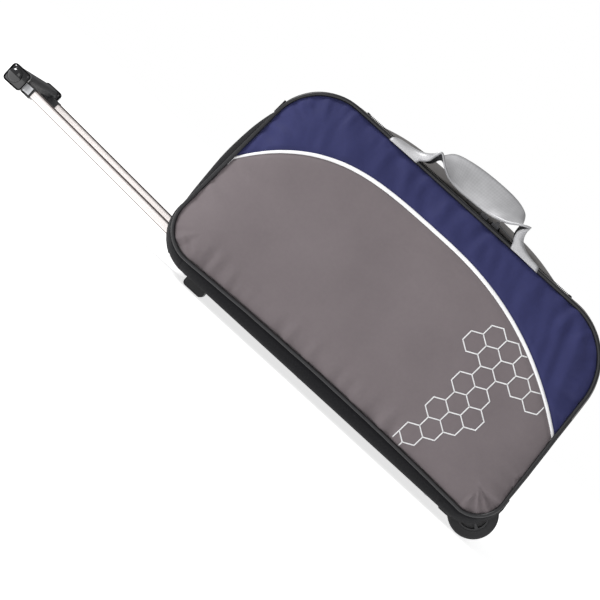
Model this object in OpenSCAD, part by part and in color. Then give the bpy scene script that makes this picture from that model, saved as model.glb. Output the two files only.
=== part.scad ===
// Rolling duffel bag: a soft shell with piped side panels, a hinged zip-open lid, two webbing
// carry straps, corner wheels and a telescopic trolley handle.
// X runs along the bag to the wheel end, Y through its depth to the back panel, Z up.
// The origin is on the floor, under the middle of the bag with its handle out.

/* [Side panel outline] */
// X of the panel's corner at the foot of the handle end, before rounding, from the panel datum
low_handle_x = -272; // [-300:1:-240]
// Length of the panel at its foot
panel_l = 524; // [480:1:640]
// How far the handle end leans in from foot to top
lean_handle = 14; // [0:1:24]
// How far the wheel end leans in from foot to top
lean_wheel = 22.5; // [0:0.5:34]
// Height of the side panels
panel_h = 271; // [225:1:340]
// Rounding of the corner over the trolley tubes
r_low_handle = 45; // [38:1:54]
// Rounding of the corner over the wheels
r_low_wheel = 38; // [34:1:44]
// Rounding of the top corner at the wheel end
r_top_wheel = 82; // [50:1:98]
// Rounding of the top corner at the handle end
r_top_handle = 70; // [45:1:84]

/* [Soft shell] */
// Half the distance between the two side seams
half_depth = 140; // [118:1:170]
// Width of the rounded edge between each side seam and the flat of the shell
edge_w = 30; // [25:1:34]
// Thickness of the shell's padded cloth
skin_t = 2.5; // [1.5:0.1:4]
// How far the bottom stands below the side seams
belly_low = 15; // [13:1:18]
// How far the top crowns above the side seams
belly_top = 4; // [2:0.5:8]
// How much more the handle end bulges at its top than at its foot
belly_handle = 6; // [2:1:12]
// How far both ends bulge beside the bottom corners
belly_corner = 4; // [2:1:5]
// Thickness of the side panels
panel_t = 3; // [2:0.5:5]
// Width and depth of the piping along the side seams
piping_w = 6; // [4:0.5:8]

/* [Front panel stripe] */
// Width of the stripe between the two panel colours
stripe_w = 6; // [3:0.5:10]
// Height of the stripe's crest above the foot of the panels
stripe_crest = 223; // [190:1:240]
// How far the stripe falls to the handle end
stripe_fall_handle = 96; // [60:1:130]
// How far the stripe falls to the wheel end
stripe_fall_wheel = 87; // [60:1:130]

/* [Lid and zipper] */
// Straight length of top left outside the lid's opening at each end
lid_margin = 7; // [4:0.5:20]
// Width of each zipper tape
tape_w = 9; // [8:0.5:10]
// Height of the lid's dome
lid_dome = 18; // [4:1:24]
// Play between the lid and the tape around it
lid_gap = 0.6; // [0.4:0.1:1]
// Thickness of the zipper tapes
tape_t = 1.5; // [1:0.1:2]
// Height of the zipper coil above its tape
coil_h = 2; // [1.4:0.1:2.6]
// Length of a zipper slider
slider_l = 13; // [9:0.5:16]
// Length of a slider's pull tab
pull_l = 26; // [18:1:34]

/* [Carry straps] */
// Width of the webbing
webbing_w = 42; // [30:1:50]
// Thickness of the webbing
webbing_t = 4; // [2.5:0.5:5]
// Distance between the two roots of a strap, centre to centre
strap_span = 191.5; // [160:0.5:220]
// Height of the front strap's arch above its roots
strap_rise = 47; // [36:1:70]
// How far the back strap hangs below its roots
strap_drop = 62; // [45:1:120]

/* [Trolley handle] */
// Slope of the trolley tubes
trolley_tilt = 2.5; // [1.5:0.1:2.8]
// Height of the tube centres where they leave the bag
entry_z = 35; // [34.5:0.5:40]
// Distance between the two tubes, centre to centre
tube_gauge = 150; // [130:1:166]
// Width of an inner tube
tube_w = 18; // [14:0.5:20]
// Height of an inner tube
tube_h = 11.5; // [10:0.5:12.5]
// Wall of the tubes
tube_wall = 1.2; // [1:0.1:1.5]
// Running gap on each side between the inner and outer tubes
tube_play = 0.3; // [0.25:0.05:0.5]
// Length of inner tube that shows when the handle is out
exposed_l = 242; // [200:1:242]
// Length of inner tube that stays inside the outer one
overlap_l = 56; // [54:1:75]
// Travel of the handle
travel = 228; // [180:1:228]
// Width of the grip bar along the tubes
grip_w = 22.5; // [20:0.5:30]
// Height of the grip bar
grip_h = 22; // [20:0.5:26]
// Length of the grip bar across the bag
grip_l = 196; // [185:1:210]
// Travel of the release button
button_travel = 4; // [3:0.5:5]

/* [Wheels and feet] */
// Radius of a wheel
wheel_r = 31; // [28:0.5:33]
// Width of a tyre
wheel_w = 22; // [18:0.5:24]
// Distance from each side seam in to the middle of the wheel
wheel_inset = 48; // [46:0.5:52]
// Radius of the wheel axles
axle_r = 3; // [2.5:0.1:4]
// Running clearance between an axle and its bush
axle_play = 0.05; // [0.02:0.01:0.1]
// Ground clearance of the bag's bottom
ground_gap = 10; // [8:0.5:12]
// Radius of the screws' shanks
screw_r = 2; // [1.5:0.1:2.5]

/* [Hidden] */
$fn = 64;

// Colours
grey_cloth = [0.47, 0.45, 0.45];
blue_cloth = [0.13, 0.14, 0.36];
black_cloth = [0.08, 0.08, 0.09];
silver = [0.8, 0.8, 0.82];
white = [0.95, 0.95, 0.95];

// The panel's other corners, before rounding
low_wheel_x = low_handle_x + panel_l;
top_wheel_x = low_wheel_x - lean_wheel;
top_handle_x = low_handle_x + lean_handle;

// Heights of the side seams
seam_low = ground_gap + belly_low;
seam_top = seam_low + panel_h;

// Wheel centre, a little inside the corner's own centre line
wheel_x = low_wheel_x - 18;
wheel_z = wheel_r;
wheel_y = half_depth - wheel_inset;

// The floor's origin lies midway between the grip's outer face and the wheels
button_proud = 1.5;
grip_out = exposed_l + 2 + 12.5 + grip_w;
entry_x = low_handle_x + 10;
grip_x = entry_x - (grip_out + button_proud) * cos(trolley_tilt);
middle_x = (grip_x + wheel_x + wheel_r) / 2;

// ---- The side panel's outline: four rounded corners, going round by way of the bottom ----
corners = [[low_handle_x, seam_low], [low_wheel_x, seam_low],
           [top_wheel_x, seam_top], [top_handle_x, seam_top]];
radii = [r_low_handle, r_low_wheel, r_top_wheel, r_top_handle];
low_handle = 0;
low_wheel = 1;
top_wheel = 2;
top_handle = 3;

function unit(v) = v / norm(v);
function dir(i) = unit(corners[(i + 1) % 4] - corners[i % 4]);
function outward(d) = [d[1], -d[0]];
function turn(i) = acos(dir(i + 3) * dir(i));
function cut(i) = radii[i] * tan(turn(i) / 2);
function arc_start(i) = corners[i] - dir(i + 3) * cut(i);
function arc_end(i) = corners[i] + dir(i) * cut(i);
function centre(i) = arc_start(i) - outward(dir(i + 3)) * radii[i];
function start_angle(i) = let (n = outward(dir(i + 3))) atan2(n[1], n[0]);

// How far the shell bulges at each corner's start and end
belly_start = [belly_corner, belly_low, belly_corner + 2, belly_top];
belly_end = [belly_low, belly_corner + 1, belly_top, belly_handle + belly_corner];

// A station on the outline: where it is, which way is out, and how far the shell bulges there
function arc_stations(i, n) = [for (k = [0:n]) let (a = start_angle(i) + turn(i) * k / n)
  [centre(i) + radii[i] * [cos(a), sin(a)], [cos(a), sin(a)],
   belly_start[i] + (belly_end[i] - belly_start[i]) * k / n]];
function side_station(i, p, b) = [p, outward(dir(i)), b];
function at_x(i, x) = corners[i] + dir(i) * (x - corners[i][0]) / dir(i)[0];
function at_z(i, z) = corners[i] + dir(i) * (z - corners[i][1]) / dir(i)[1];

// Each side of the outline takes the number of the corner that it starts from.
// Stations along the bottom: the wheel end panel begins, then the wheel housings begin
end_panel_x = wheel_x - 44;
housing_x = wheel_x - 36;
bottom_stations = [for (x = [end_panel_x, housing_x])
  side_station(low_handle, at_x(low_handle, x), belly_low)];

// Stations up the wheel end: the housings end, then the black end panel gives way to the top
housing_z = max(wheel_z + 41, arc_end(low_wheel)[1] + 3);
wheel_end_seam_z = seam_low + 0.62 * panel_h;
wheel_stations = [for (z = [housing_z, (housing_z + wheel_end_seam_z) / 2, wheel_end_seam_z])
  side_station(low_wheel, at_z(low_wheel, z), belly_corner + 1
    + (z - housing_z) / (wheel_end_seam_z - housing_z))];

// Stations along the top, from the wheel end: the zipper tape's and the coil's edges
lid_mid_x = (arc_end(top_wheel)[0] + arc_start(top_handle)[0]) / 2;
lid_l = arc_end(top_wheel)[0] - arc_start(top_handle)[0] - 2 * lid_margin;
coil_inset = (tape_w - 3.2) / 2;
tape_steps = [0, coil_inset, tape_w - coil_inset, tape_w];
top_xs = concat([for (s = tape_steps) lid_mid_x + lid_l / 2 - s],
                [for (k = [3:-1:0]) lid_mid_x - lid_l / 2 + tape_steps[k]]);
top_stations = [for (x = top_xs) side_station(top_wheel, at_x(top_wheel, x), belly_top)];

// Stations down the handle end, where the bulge dies away towards the tubes
handle_seam_z = arc_end(top_handle)[1] - 2;
handle_low_z = arc_start(low_handle)[1];
handle_steps = 7;
function handle_belly(t) = belly_corner + belly_handle * (1 - t * t * t);
handle_stations = [for (k = [0:handle_steps - 1])
  let (t = k / handle_steps, z = handle_seam_z + (handle_low_z - handle_seam_z) * t)
  side_station(top_handle, at_z(top_handle, z), handle_belly(t))];

arc_n = [12, 10, 10, 9];
stations = concat(bottom_stations, arc_stations(1, arc_n[1]), wheel_stations,
                  arc_stations(2, arc_n[2]), top_stations, arc_stations(3, arc_n[3]),
                  handle_stations, arc_stations(0, arc_n[0]));

// Where each stretch begins in that list
i_housing = 1;
i_wheel_arc = 2;
i_housing_end = i_wheel_arc + arc_n[1] + 1;
i_wheel_seam = i_housing_end + 2;
i_top = i_wheel_seam + 1 + arc_n[2] + 1;
i_top_end = i_top + 7;
i_handle_seam = i_top_end + 1 + arc_n[3] + 1;
i_low_arc = i_handle_seam + handle_steps;
i_last = i_low_arc + arc_n[0];
i_bezel = i_low_arc + 3;
i_bezel_end = i_low_arc + 9;

// Stations through the depth, from the front seam to the back one
yf = half_depth - edge_w;
zip_y = half_depth - 13;
housing_out = wheel_y + 18;
housing_in = wheel_y - 18;
bezel_y = tube_gauge / 2 + 20;
coil_y = zip_y - coil_inset;
coil_end_y = zip_y - tape_w + coil_inset;
tape_end_y = zip_y - tape_w;
function sorted(list) = len(list) < 2 ? list : let (first = list[0]) concat(
  sorted([for (v = list) if (v < first) v]), [first], sorted([for (v = list) if (v > first) v]));
half_ys = sorted([half_depth, half_depth - 6, zip_y, coil_y, coil_end_y, tape_end_y,
                  housing_out, bezel_y, housing_in]);
function ys_between(a, b) = [for (y = concat([for (k = [len(half_ys) - 1:-1:0]) -half_ys[k]], half_ys))
  if (y >= a && y <= b) y];
ys = ys_between(-half_depth, half_depth);

// How much of the bulge the shell has at depth y: all of it but for a rounded edge
function swell(y) = let (u = max(0, abs(y) - yf) / edge_w) 1 - u * u;
function shell_point(s, y, lift) = let (p = s[0] + s[1] * (s[2] * swell(y) + lift)) [p[0], y, p[1]];
module placed() translate([-middle_x, 0, 0]) children();

// A sheet that follows the shell along a list of stations and depths, between two lifts from
// its surface. Each window [i0, i1, y0, y1] leaves open the cells from station i0 to i1 and
// depth y0 to y1. A dome lifts the middle, and dies away towards the first and last station
// and towards the flat's edges.
module sheet(list, depths, top, under, windows = [], dome = 0) {
  m = len(list);
  n = len(depths);
  function domed(i, y) = dome * (1 - pow(2 * i / (m - 1) - 1, 2)) * max(0, 1 - pow(y / yf, 2));
  function open(i, j) = len([for (w = windows)
    if (i >= w[0] && i < w[1] && depths[j] >= w[2] && depths[j + 1] <= w[3]) 1]) > 0;
  function filled(i, j) = i >= 0 && j >= 0 && i < m - 1 && j < n - 1 && !open(i, j);
  function id(i, j, side) = side * m * n + i * n + j;
  function wall(a, b) = [[id(a[0], a[1], 0), id(a[0], a[1], 1), id(b[0], b[1], 1), id(b[0], b[1], 0)]];
  points = [for (lift = [top, under]) each [for (i = [0:m - 1]) each [for (y = depths)
    shell_point(list[i], y, lift + domed(i, y))]]];
  quads = [for (i = [0:m - 2]) each [for (j = [0:n - 2]) if (filled(i, j)) each concat(
    [[id(i, j, 0), id(i, j + 1, 0), id(i + 1, j + 1, 0), id(i + 1, j, 0)],
     [id(i, j, 1), id(i + 1, j, 1), id(i + 1, j + 1, 1), id(i, j + 1, 1)]],
    filled(i - 1, j) ? [] : wall([i, j], [i, j + 1]),
    filled(i + 1, j) ? [] : wall([i + 1, j + 1], [i + 1, j]),
    filled(i, j - 1) ? [] : wall([i + 1, j], [i, j]),
    filled(i, j + 1) ? [] : wall([i, j + 1], [i + 1, j + 1]))]];
  placed() polyhedron(points, [for (q = quads) each [[q[0], q[2], q[1]], [q[0], q[3], q[2]]]]);
}

function part_of(list, a, b) = [for (k = [a:b]) list[k]];

// The side panel's outline, moved outwards by d
function outline(d) = [for (k = [0:3]) each [for (s = arc_stations(k, 12)) s[0] + s[1] * d]];

// A drawing in X and Z made solid from depth y0 to y1
module through(y0, y1) translate([0, y1, 0]) rotate([90, 0, 0]) linear_extrude(y1 - y0) children();

// A drawing in Y and Z made solid from x0 to x1
module along(x0, x1) translate([x0, 0, 0]) rotate([90, 0, 90]) linear_extrude(x1 - x0) children();

// ---- Side panels and piping ----
panel_y = half_depth + 1;
panel_inset = piping_w - 1;
crest_x = low_handle_x + 262;
far_x = 320;

// The stripe's line, lifted by "up": flat near its crest and steeper towards each end
function stripe_z(x, up) = seam_low + stripe_crest + up - (x < crest_x
  ? stripe_fall_handle * pow((crest_x - x) / (crest_x - low_handle_x - 9), 3.7)
  : stripe_fall_wheel * pow((x - crest_x) / (low_wheel_x - 2 - crest_x), 2.2));
function stripe_line(up) = [for (x = [low_handle_x - 10:10:low_wheel_x + 10]) [x, stripe_z(x, up)]];
function reversed(list) = [for (k = [len(list) - 1:-1:0]) list[k]];

module panel_face() polygon(outline(-panel_inset));
module front_layer() placed() through(-panel_y - panel_t, -panel_y) intersection() {
  panel_face();
  children();
}

module front_lower_panel() color(grey_cloth) front_layer()
  polygon(concat([[far_x, 0], [-far_x, 0]], stripe_line(-stripe_w / 2)));

module front_upper_panel() color(blue_cloth) front_layer()
  polygon(concat([[far_x, seam_top], [-far_x, seam_top]], stripe_line(stripe_w / 2)));

module front_stripe() color(white) front_layer()
  polygon(concat(stripe_line(-stripe_w / 2), reversed(stripe_line(stripe_w / 2))));

module back_panel() color(grey_cloth) placed() through(panel_y, panel_y + panel_t) panel_face();

module piping_ring(y0) color(black_cloth) placed() through(y0, y0 + piping_w) difference() {
  polygon(outline(1));
  panel_face();
}
module front_piping() piping_ring(-half_depth - piping_w);
module back_piping() piping_ring(half_depth);

// ---- Bottom, base board and feet ----
board_z = ground_gap + skin_t;
board_t = 2;
board_top = board_z + board_t;
bottom_x0 = arc_end(low_handle)[0];
foot_x = low_handle_x + 75;
foot_len = 30;
foot_w = 22;
foot_round = 5;
rivet_r = 1.6;
rivet_xs = [foot_x - foot_len / 2 - 4, -30, end_panel_x - 14];
rivet_y = yf - 4;
bracket_x = entry_x + (travel + overlap_l + 7) * cos(trolley_tilt) - 14;
bracket_screw_y = 30;

module at_foot_screws() for (side = [-1, 1], dx = [-1, 1])
  translate([foot_x + dx * foot_len / 4, side * wheel_y, 0]) children();
module at_rivets() for (side = [-1, 1], x = rivet_xs) translate([x, side * rivet_y, 0]) children();
module at_bracket_screws() for (side = [-1, 1])
  translate([bracket_x + 8, side * bracket_screw_y, 0]) children();

// The bottom has one section all along
bottom_profile = concat([for (y = ys) [y, seam_low - belly_low * swell(y)]],
  reversed([for (y = ys) [y, seam_low - belly_low * swell(y) + skin_t]]));

module bottom_panel() color(black_cloth) placed() difference() {
  along(bottom_x0, end_panel_x) polygon(bottom_profile);
  at_foot_screws() cylinder(h = seam_low, r = screw_r);
  at_rivets() cylinder(h = seam_low, r = rivet_r);
}

module base_board() color([0.16, 0.15, 0.14]) placed() difference() {
  translate([bottom_x0 + 2, -yf, board_z]) cube([end_panel_x - bottom_x0 - 4, 2 * yf, board_t]);
  at_foot_screws() cylinder(h = seam_low, r = screw_r);
  at_rivets() cylinder(h = seam_low, r = rivet_r);
  at_bracket_screws() cylinder(h = seam_low, r = screw_r);
}

module base_rivets() color(silver) placed() at_rivets() {
  translate([0, 0, ground_gap - 1]) cylinder(h = 1, r1 = 1.7, r2 = 2.4);
  translate([0, 0, ground_gap]) cylinder(h = board_top - ground_gap, r = rivet_r);
  translate([0, 0, board_top]) cylinder(h = 0.8, r = 2.4);
}

// A foot: a block with round lower edges, screwed up through the bottom into the board
screw_head_r = 3.5;
head_seat_z = 6.5;
module foot(side) color(black_cloth) placed() difference() {
  translate([foot_x, 0, 0]) through(side * wheel_y - foot_w / 2, side * wheel_y + foot_w / 2) union() {
    for (dx = [-1, 1]) translate([dx * (foot_len / 2 - foot_round), foot_round]) circle(foot_round);
    translate([foot_round - foot_len / 2, 0]) square([foot_len - 2 * foot_round, ground_gap]);
    translate([-foot_len / 2, foot_round]) square([foot_len, ground_gap - foot_round]);
  }
  at_foot_screws() {
    cylinder(h = ground_gap, r = screw_r);
    translate([0, 0, -1]) cylinder(h = head_seat_z + 1, r = screw_head_r + 0.3);
  }
}
module foot_l() foot(-1);
module foot_r() foot(1);

module foot_screws() color(silver) placed() at_foot_screws() {
  translate([0, 0, head_seat_z - 3]) cylinder(h = 3, r = screw_head_r);
  translate([0, 0, head_seat_z]) cylinder(h = board_top - head_seat_z, r = screw_r);
}

// ---- Ends and top of the shell ----
module handle_end_panel() color(black_cloth) sheet(part_of(stations, i_handle_seam, i_last), ys,
  0, -skin_t, [[i_bezel - i_handle_seam, i_bezel_end - i_handle_seam, -bezel_y, bezel_y]]);

module wheel_end_panel() color(black_cloth) sheet(part_of(stations, 0, i_wheel_seam), ys,
  0, -skin_t, [[i_housing, i_housing_end, -housing_out, -housing_in],
               [i_housing, i_housing_end, housing_in, housing_out]]);

module top_gusset() color(grey_cloth) sheet(part_of(stations, i_wheel_seam, i_handle_seam), ys,
  0, -skin_t, [[i_top - i_wheel_seam, i_top_end - i_wheel_seam, -zip_y, tape_end_y]]);

// ---- Zipper: tape and coil on three sides of the opening ----
module zipper_tape() color(black_cloth) sheet(part_of(stations, i_top, i_top_end),
  ys_between(-zip_y, tape_end_y), 0, -tape_t, [[3, 4, -tape_end_y, tape_end_y]]);

module zipper_coil() color([0.12, 0.12, 0.13]) sheet(part_of(stations, i_top + 1, i_top_end - 1),
  ys_between(-coil_y, tape_end_y), coil_h, 0, [[1, 4, -coil_end_y, tape_end_y]]);

// ---- Lid: a crowned panel in the opening, hinged along the back ----
lid_y = tape_end_y - lid_gap;
lid_half = lid_l / 2 - tape_w - lid_gap;
lid_tape_w = 7.4;
function lid_stations(inset) = [for (x = [lid_mid_x + lid_half - inset, lid_mid_x - lid_half + inset])
  side_station(top_wheel, at_x(top_wheel, x), belly_top)];
lid_edge = [lid_stations(0)[0], lid_stations(lid_tape_w)[0],
            lid_stations(lid_tape_w)[1], lid_stations(0)[1]];

module lid_zipper_tape() color(black_cloth)
  sheet(lid_edge, [-lid_y, -yf, yf, lid_y], 0, -tape_t, [[1, 2, -yf, lid_y]]);
lid_steps = 12;
lid_rows = [for (k = [0:lid_steps]) let (a = lid_stations(lid_tape_w))
  side_station(top_wheel, a[0][0] + (a[1][0] - a[0][0]) * k / lid_steps, belly_top)];
lid_depths = concat([for (k = [-5:5]) yf * k / 5], [lid_y]);
module lid_panel() color(grey_cloth) sheet(lid_rows, lid_depths, 0, -skin_t, [], lid_dome);

// ---- Zipper sliders on the front run, each with a pull tab on a bail ----
function top_z(y) = seam_top + belly_top * swell(y);
run_y = (coil_y + coil_end_y) / 2;
run_slope = atan2(top_z(coil_end_y) - top_z(coil_y), coil_y - coil_end_y);
run_z = (top_z(coil_end_y) + top_z(coil_y)) / 2;
slider_gap = 0.3;
slider_top = coil_h + 2.6;
bail_z = slider_top + 2.5;
bail_r = 0.9;
eye_r = 1.2;
slider_a_x = lid_mid_x + 22;
slider_b_x = slider_a_x + slider_l + 5;

// Places a slider's drawing on the zipper's slope, turned to face the other slider
module on_run(x, facing) placed() translate([x, -run_y, run_z]) rotate([run_slope, 0, 0])
  scale([facing, 1, 1]) children();

module slider_shape() {
  difference() {
    translate([0, 0, slider_gap]) linear_extrude(slider_top - slider_gap) polygon([
      [-slider_l / 2, -2.8], [-slider_l / 2 + 2, -4], [slider_l / 2 - 1, -4], [slider_l / 2, -3],
      [slider_l / 2, 4], [slider_l / 2 - 1, 4.8], [-slider_l / 2 + 2, 4.8], [-slider_l / 2, 3.8]]);
    translate([-slider_l, -2.4, -1]) cube([2 * slider_l, 5.8, coil_h + 1.3]);
  }
  for (y = [-4, 3]) translate([-1.3, y, slider_top - 0.5]) cube([2.6, 1.2, bail_z - slider_top + 1.4]);
  translate([0, -3, bail_z]) rotate([-90, 0, 0]) cylinder(h = 6.2, r = bail_r);
}
module slider_a() color(silver) on_run(slider_a_x, 1) slider_shape();
module slider_b() color(silver) on_run(slider_b_x, -1) slider_shape();

pull_droop = 7.5;
module pull_shape() translate([0, 0.1, bail_z]) rotate([0, -pull_droop, 0]) difference() {
  union() {
    rotate([90, 0, 0]) cylinder(h = 5.4, r = 2.2, center = true);
    translate([-pull_l, -3, -0.7]) cube([pull_l - 1, 6, 1.4]);
    translate([-pull_l, 0, -0.7]) cylinder(h = 1.4, r = 3);
  }
  rotate([90, 0, 0]) cylinder(h = 8, r = eye_r, center = true);
  translate([-3, -3.2, -2.4]) cube([6, 0.5, 5]);
  translate([-3, 2.7, -2.4]) cube([6, 0.5, 5]);
  translate([-pull_l + 0.5, 0, -2]) cylinder(h = 4, r = 1.5);
}
module pull_tab_a() color(silver) on_run(slider_a_x, 1) pull_shape();
module pull_tab_b() color(silver) on_run(slider_b_x, -1) pull_shape();

// ---- Carry straps: webbing loops rooted in the seams beside the zipper ----
strap_x = low_handle_x + 248.25;
strap_out = half_depth - 1;
strap_in = strap_out - webbing_t;
strap_z = top_z(strap_in) + 0.4;
root = strap_span / 2;
half_web = webbing_w / 2;

module carry_strap_front() color(silver) placed() translate([strap_x, 0, strap_z])
  through(-strap_out, -strap_in) polygon([
    [-root - half_web, 0], [-root + half_web, 0], [-root + half_web, 5], [-46, 12], [24, 12],
    [54, 14], [root - half_web, 7], [root - half_web, 0], [root + half_web, 0],
    [root + half_web, 9], [70, strap_rise * 0.8], [44, strap_rise * 0.96], [16, strap_rise],
    [-28, strap_rise * 0.84], [-62, strap_rise * 0.58], [-root - half_web, 9]]);

// The back strap lies flat against the back piping, hung from the seam
back_strap_y = half_depth + piping_w + 0.4;
back_strap_z = seam_top + 3;
module carry_strap_back() color(silver) placed() translate([strap_x, 0, back_strap_z])
  through(back_strap_y, back_strap_y + webbing_t) difference() {
    translate([-root - half_web, -strap_drop - webbing_w])
      square([strap_span + webbing_w, strap_drop + webbing_w]);
    translate([half_web - root, -strap_drop]) square([strap_span - webbing_w, strap_drop + 1]);
  }

// ---- Trolley: everything below is drawn along the tubes, with X = 0 where they leave the bag ----
module trolley() placed() translate([entry_x, 0, entry_z]) rotate([0, trolley_tilt, 0]) children();
module at_tube(side) translate([0, side * tube_gauge / 2, 0]) children();

module rounded(w, h, r) {
  square([w - 2 * r, h], center = true);
  square([w, h - 2 * r], center = true);
  for (a = [-1, 1], b = [-1, 1]) translate([a * (w / 2 - r), b * (h / 2 - r)]) circle(r);
}

bore_w = tube_w + 2 * tube_play;
bore_h = tube_h + 2 * tube_play;
outer_w = bore_w + 2 * tube_wall;
outer_h = bore_h + 2 * tube_wall;
plug_l = 6;
outer_l = travel + overlap_l + plug_l + 1;
pin_r = 2;
pin_gap = 0.3;
pin_x = overlap_l - 6.5;
tube_round = 2.5;
socket_l = 6;
ferrule_len = 12.5;
collar_l = 2;
shell_in = -(exposed_l + collar_l + ferrule_len);
shell_out = shell_in - grip_w;

// The lock pins ride in a slot as long as the travel
module outer_tube(side) color([0.55, 0.55, 0.57]) trolley() at_tube(side) difference() {
  along(0, outer_l) difference() {
    rounded(outer_w, outer_h, tube_round);
    rounded(bore_w, bore_h, tube_round - tube_wall);
  }
  translate([pin_x - pin_r - pin_gap, side * outer_w / 2 - 3, -pin_r - pin_gap])
    cube([travel + 2 * (pin_r + pin_gap), 6, 2 * (pin_r + pin_gap)]);
}
module outer_tube_l() outer_tube(-1);
module outer_tube_r() outer_tube(1);

module inner_tube(side) color(silver) trolley() at_tube(side) difference() {
  along(shell_in - socket_l, overlap_l) difference() {
    rounded(tube_w, tube_h, tube_round);
    rounded(tube_w - 2 * tube_wall, tube_h - 2 * tube_wall, tube_round - tube_wall);
  }
  translate([pin_x, 0, 0]) rotate([-90 * side, 0, 0]) cylinder(h = tube_w, r = pin_r + pin_gap);
}
module inner_tube_l() inner_tube(-1);
module inner_tube_r() inner_tube(1);

module ferrule(side) color(silver) trolley() at_tube(side)
  along(shell_in, shell_in + ferrule_len) difference() {
    rounded(tube_w + 1.5, tube_h + 1, 1.5);
    rounded(tube_w, tube_h, tube_round);
  }
module ferrule_l() ferrule(-1);
module ferrule_r() ferrule(1);

module tube_collars() color(black_cloth) trolley() for (side = [-1, 1]) at_tube(side)
  along(-exposed_l - collar_l, -exposed_l) difference() {
    rounded(tube_w + 2, tube_h + 1.5, 2.5);
    rounded(tube_w, tube_h, tube_round);
  }

module guide_plug(side) color(black_cloth) trolley() at_tube(side) {
  along(overlap_l, overlap_l + plug_l) rounded(bore_w - 0.4, bore_h - 0.4, tube_round);
  along(overlap_l - 1.5, overlap_l)
    rounded(tube_w - 2 * tube_wall, tube_h - 2 * tube_wall, tube_round - tube_wall);
}
module guide_plug_l() guide_plug(-1);
module guide_plug_r() guide_plug(1);

// The bezel fills a window in the lower corner and holds the outer tubes' mouths
bezel_proud = 3;
bezel_deep = 14;
function band(a, b, out, inner) = concat(
  [for (k = [a:b]) stations[k][0] + stations[k][1] * (stations[k][2] + out)],
  reversed([for (k = [a:b]) stations[k][0] + stations[k][1] * (stations[k][2] - inner)]));
module handle_bezel() color(black_cloth) difference() {
  placed() through(-bezel_y, bezel_y) polygon(band(i_bezel, i_bezel_end, bezel_proud, bezel_deep));
  trolley() for (side = [-1, 1]) at_tube(side) {
    along(-40, 1) rounded(bore_w, bore_h, tube_round - tube_wall);
    along(0, 40) rounded(outer_w, outer_h, tube_round);
  }
}

// The bracket holds the outer tubes' inner ends down on the base board
bracket_h = 20;
module tube_bracket() color(black_cloth) difference() {
  placed() translate([bracket_x, -tube_gauge / 2 - 15, board_top])
    cube([16, tube_gauge + 30, bracket_h]);
  trolley() for (side = [-1, 1]) at_tube(side) along(0, outer_l) rounded(outer_w, outer_h, tube_round);
  placed() at_bracket_screws() cylinder(h = 90, r = screw_r);
}
module bracket_screws() color(silver) placed() at_bracket_screws() {
  translate([0, 0, board_z]) cylinder(h = board_t + bracket_h, r = screw_r);
  translate([0, 0, board_top + bracket_h]) cylinder(h = 2.5, r = screw_head_r);
}

// ---- Grip: two shells around the release bar ----
grip_mid = 3;
grip_wall = 2;
grip_round = 6;
cavity_in = shell_in - grip_wall;
cavity_out = shell_out + grip_wall;
boss_x = shell_in - 6;
boss_y = 45;
boss_r = 3.5;
grip_screw_r = 1.5;
button_l = 36;
button_h = 8;
button_gap = 0.4;
bar_t = 4;
bar_x = cavity_out + 2;
spring_y = 22;
tongue_t = 1.4;

module grip_section(inset) translate([(shell_in + shell_out) / 2, grip_mid])
  rounded(grip_w - 2 * inset, grip_h - 2 * inset, grip_round - inset);
module grip_half(up) difference() {
  union() {
    difference() {
      through(-grip_l / 2, grip_l / 2) grip_section(0);
      through(grip_wall - grip_l / 2, grip_l / 2 - grip_wall) grip_section(grip_wall);
    }
    for (side = [-1, 1]) translate([boss_x, side * boss_y, grip_mid - grip_h / 2 + 0.5])
      cylinder(h = grip_h - 1, r = boss_r);
  }
  translate([shell_out - 1, -grip_l, up ? grip_mid - grip_h : grip_mid])
    cube([grip_w + 2, 2 * grip_l, grip_h]);
  for (side = [-1, 1]) at_tube(side) along(cavity_in - 10, shell_in + 1) rounded(tube_w, tube_h, tube_round);
  translate([shell_out - 1, -button_l / 2 - button_gap, grip_mid - button_h / 2 - button_gap])
    cube([grip_wall + 2, button_l + 2 * button_gap, button_h + 2 * button_gap]);
  for (side = [-1, 1]) translate([boss_x, side * boss_y, grip_mid - grip_h]) {
    cylinder(h = grip_h + 7, r = grip_screw_r);
    cylinder(h = grip_h / 2 + 2.5, r = 3);
  }
}

module grip_lower_shell() color([0.1, 0.1, 0.11]) trolley() {
  grip_half(false);
  for (side = [-1, 1]) at_tube(side)
    translate([shell_in - grip_round, -tube_w / 2, grip_mid - grip_h / 2 + 0.1])
      cube([grip_round + ferrule_len + collar_l, tube_w, tongue_t]);
}
module grip_upper_shell() color([0.14, 0.14, 0.15]) trolley() grip_half(true);

module grip_screws() color(silver) trolley() for (side = [-1, 1])
  translate([boss_x, side * boss_y, grip_mid - grip_h / 2]) {
    translate([0, 0, 0.5]) cylinder(h = 2, r = 2.7);
    translate([0, 0, 2.5]) cylinder(h = grip_h / 2 + 4, r = grip_screw_r);
  }

module release_button() color(black_cloth) trolley()
  translate([shell_out - button_proud, -button_l / 2, grip_mid - button_h / 2])
    cube([bar_x - shell_out + button_proud, button_l, button_h]);

module release_bar() color([0.3, 0.3, 0.32]) trolley() translate([bar_x, -tube_gauge / 2 - 4, -2.5])
  cube([bar_t, tube_gauge + 8, 8]);

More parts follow.
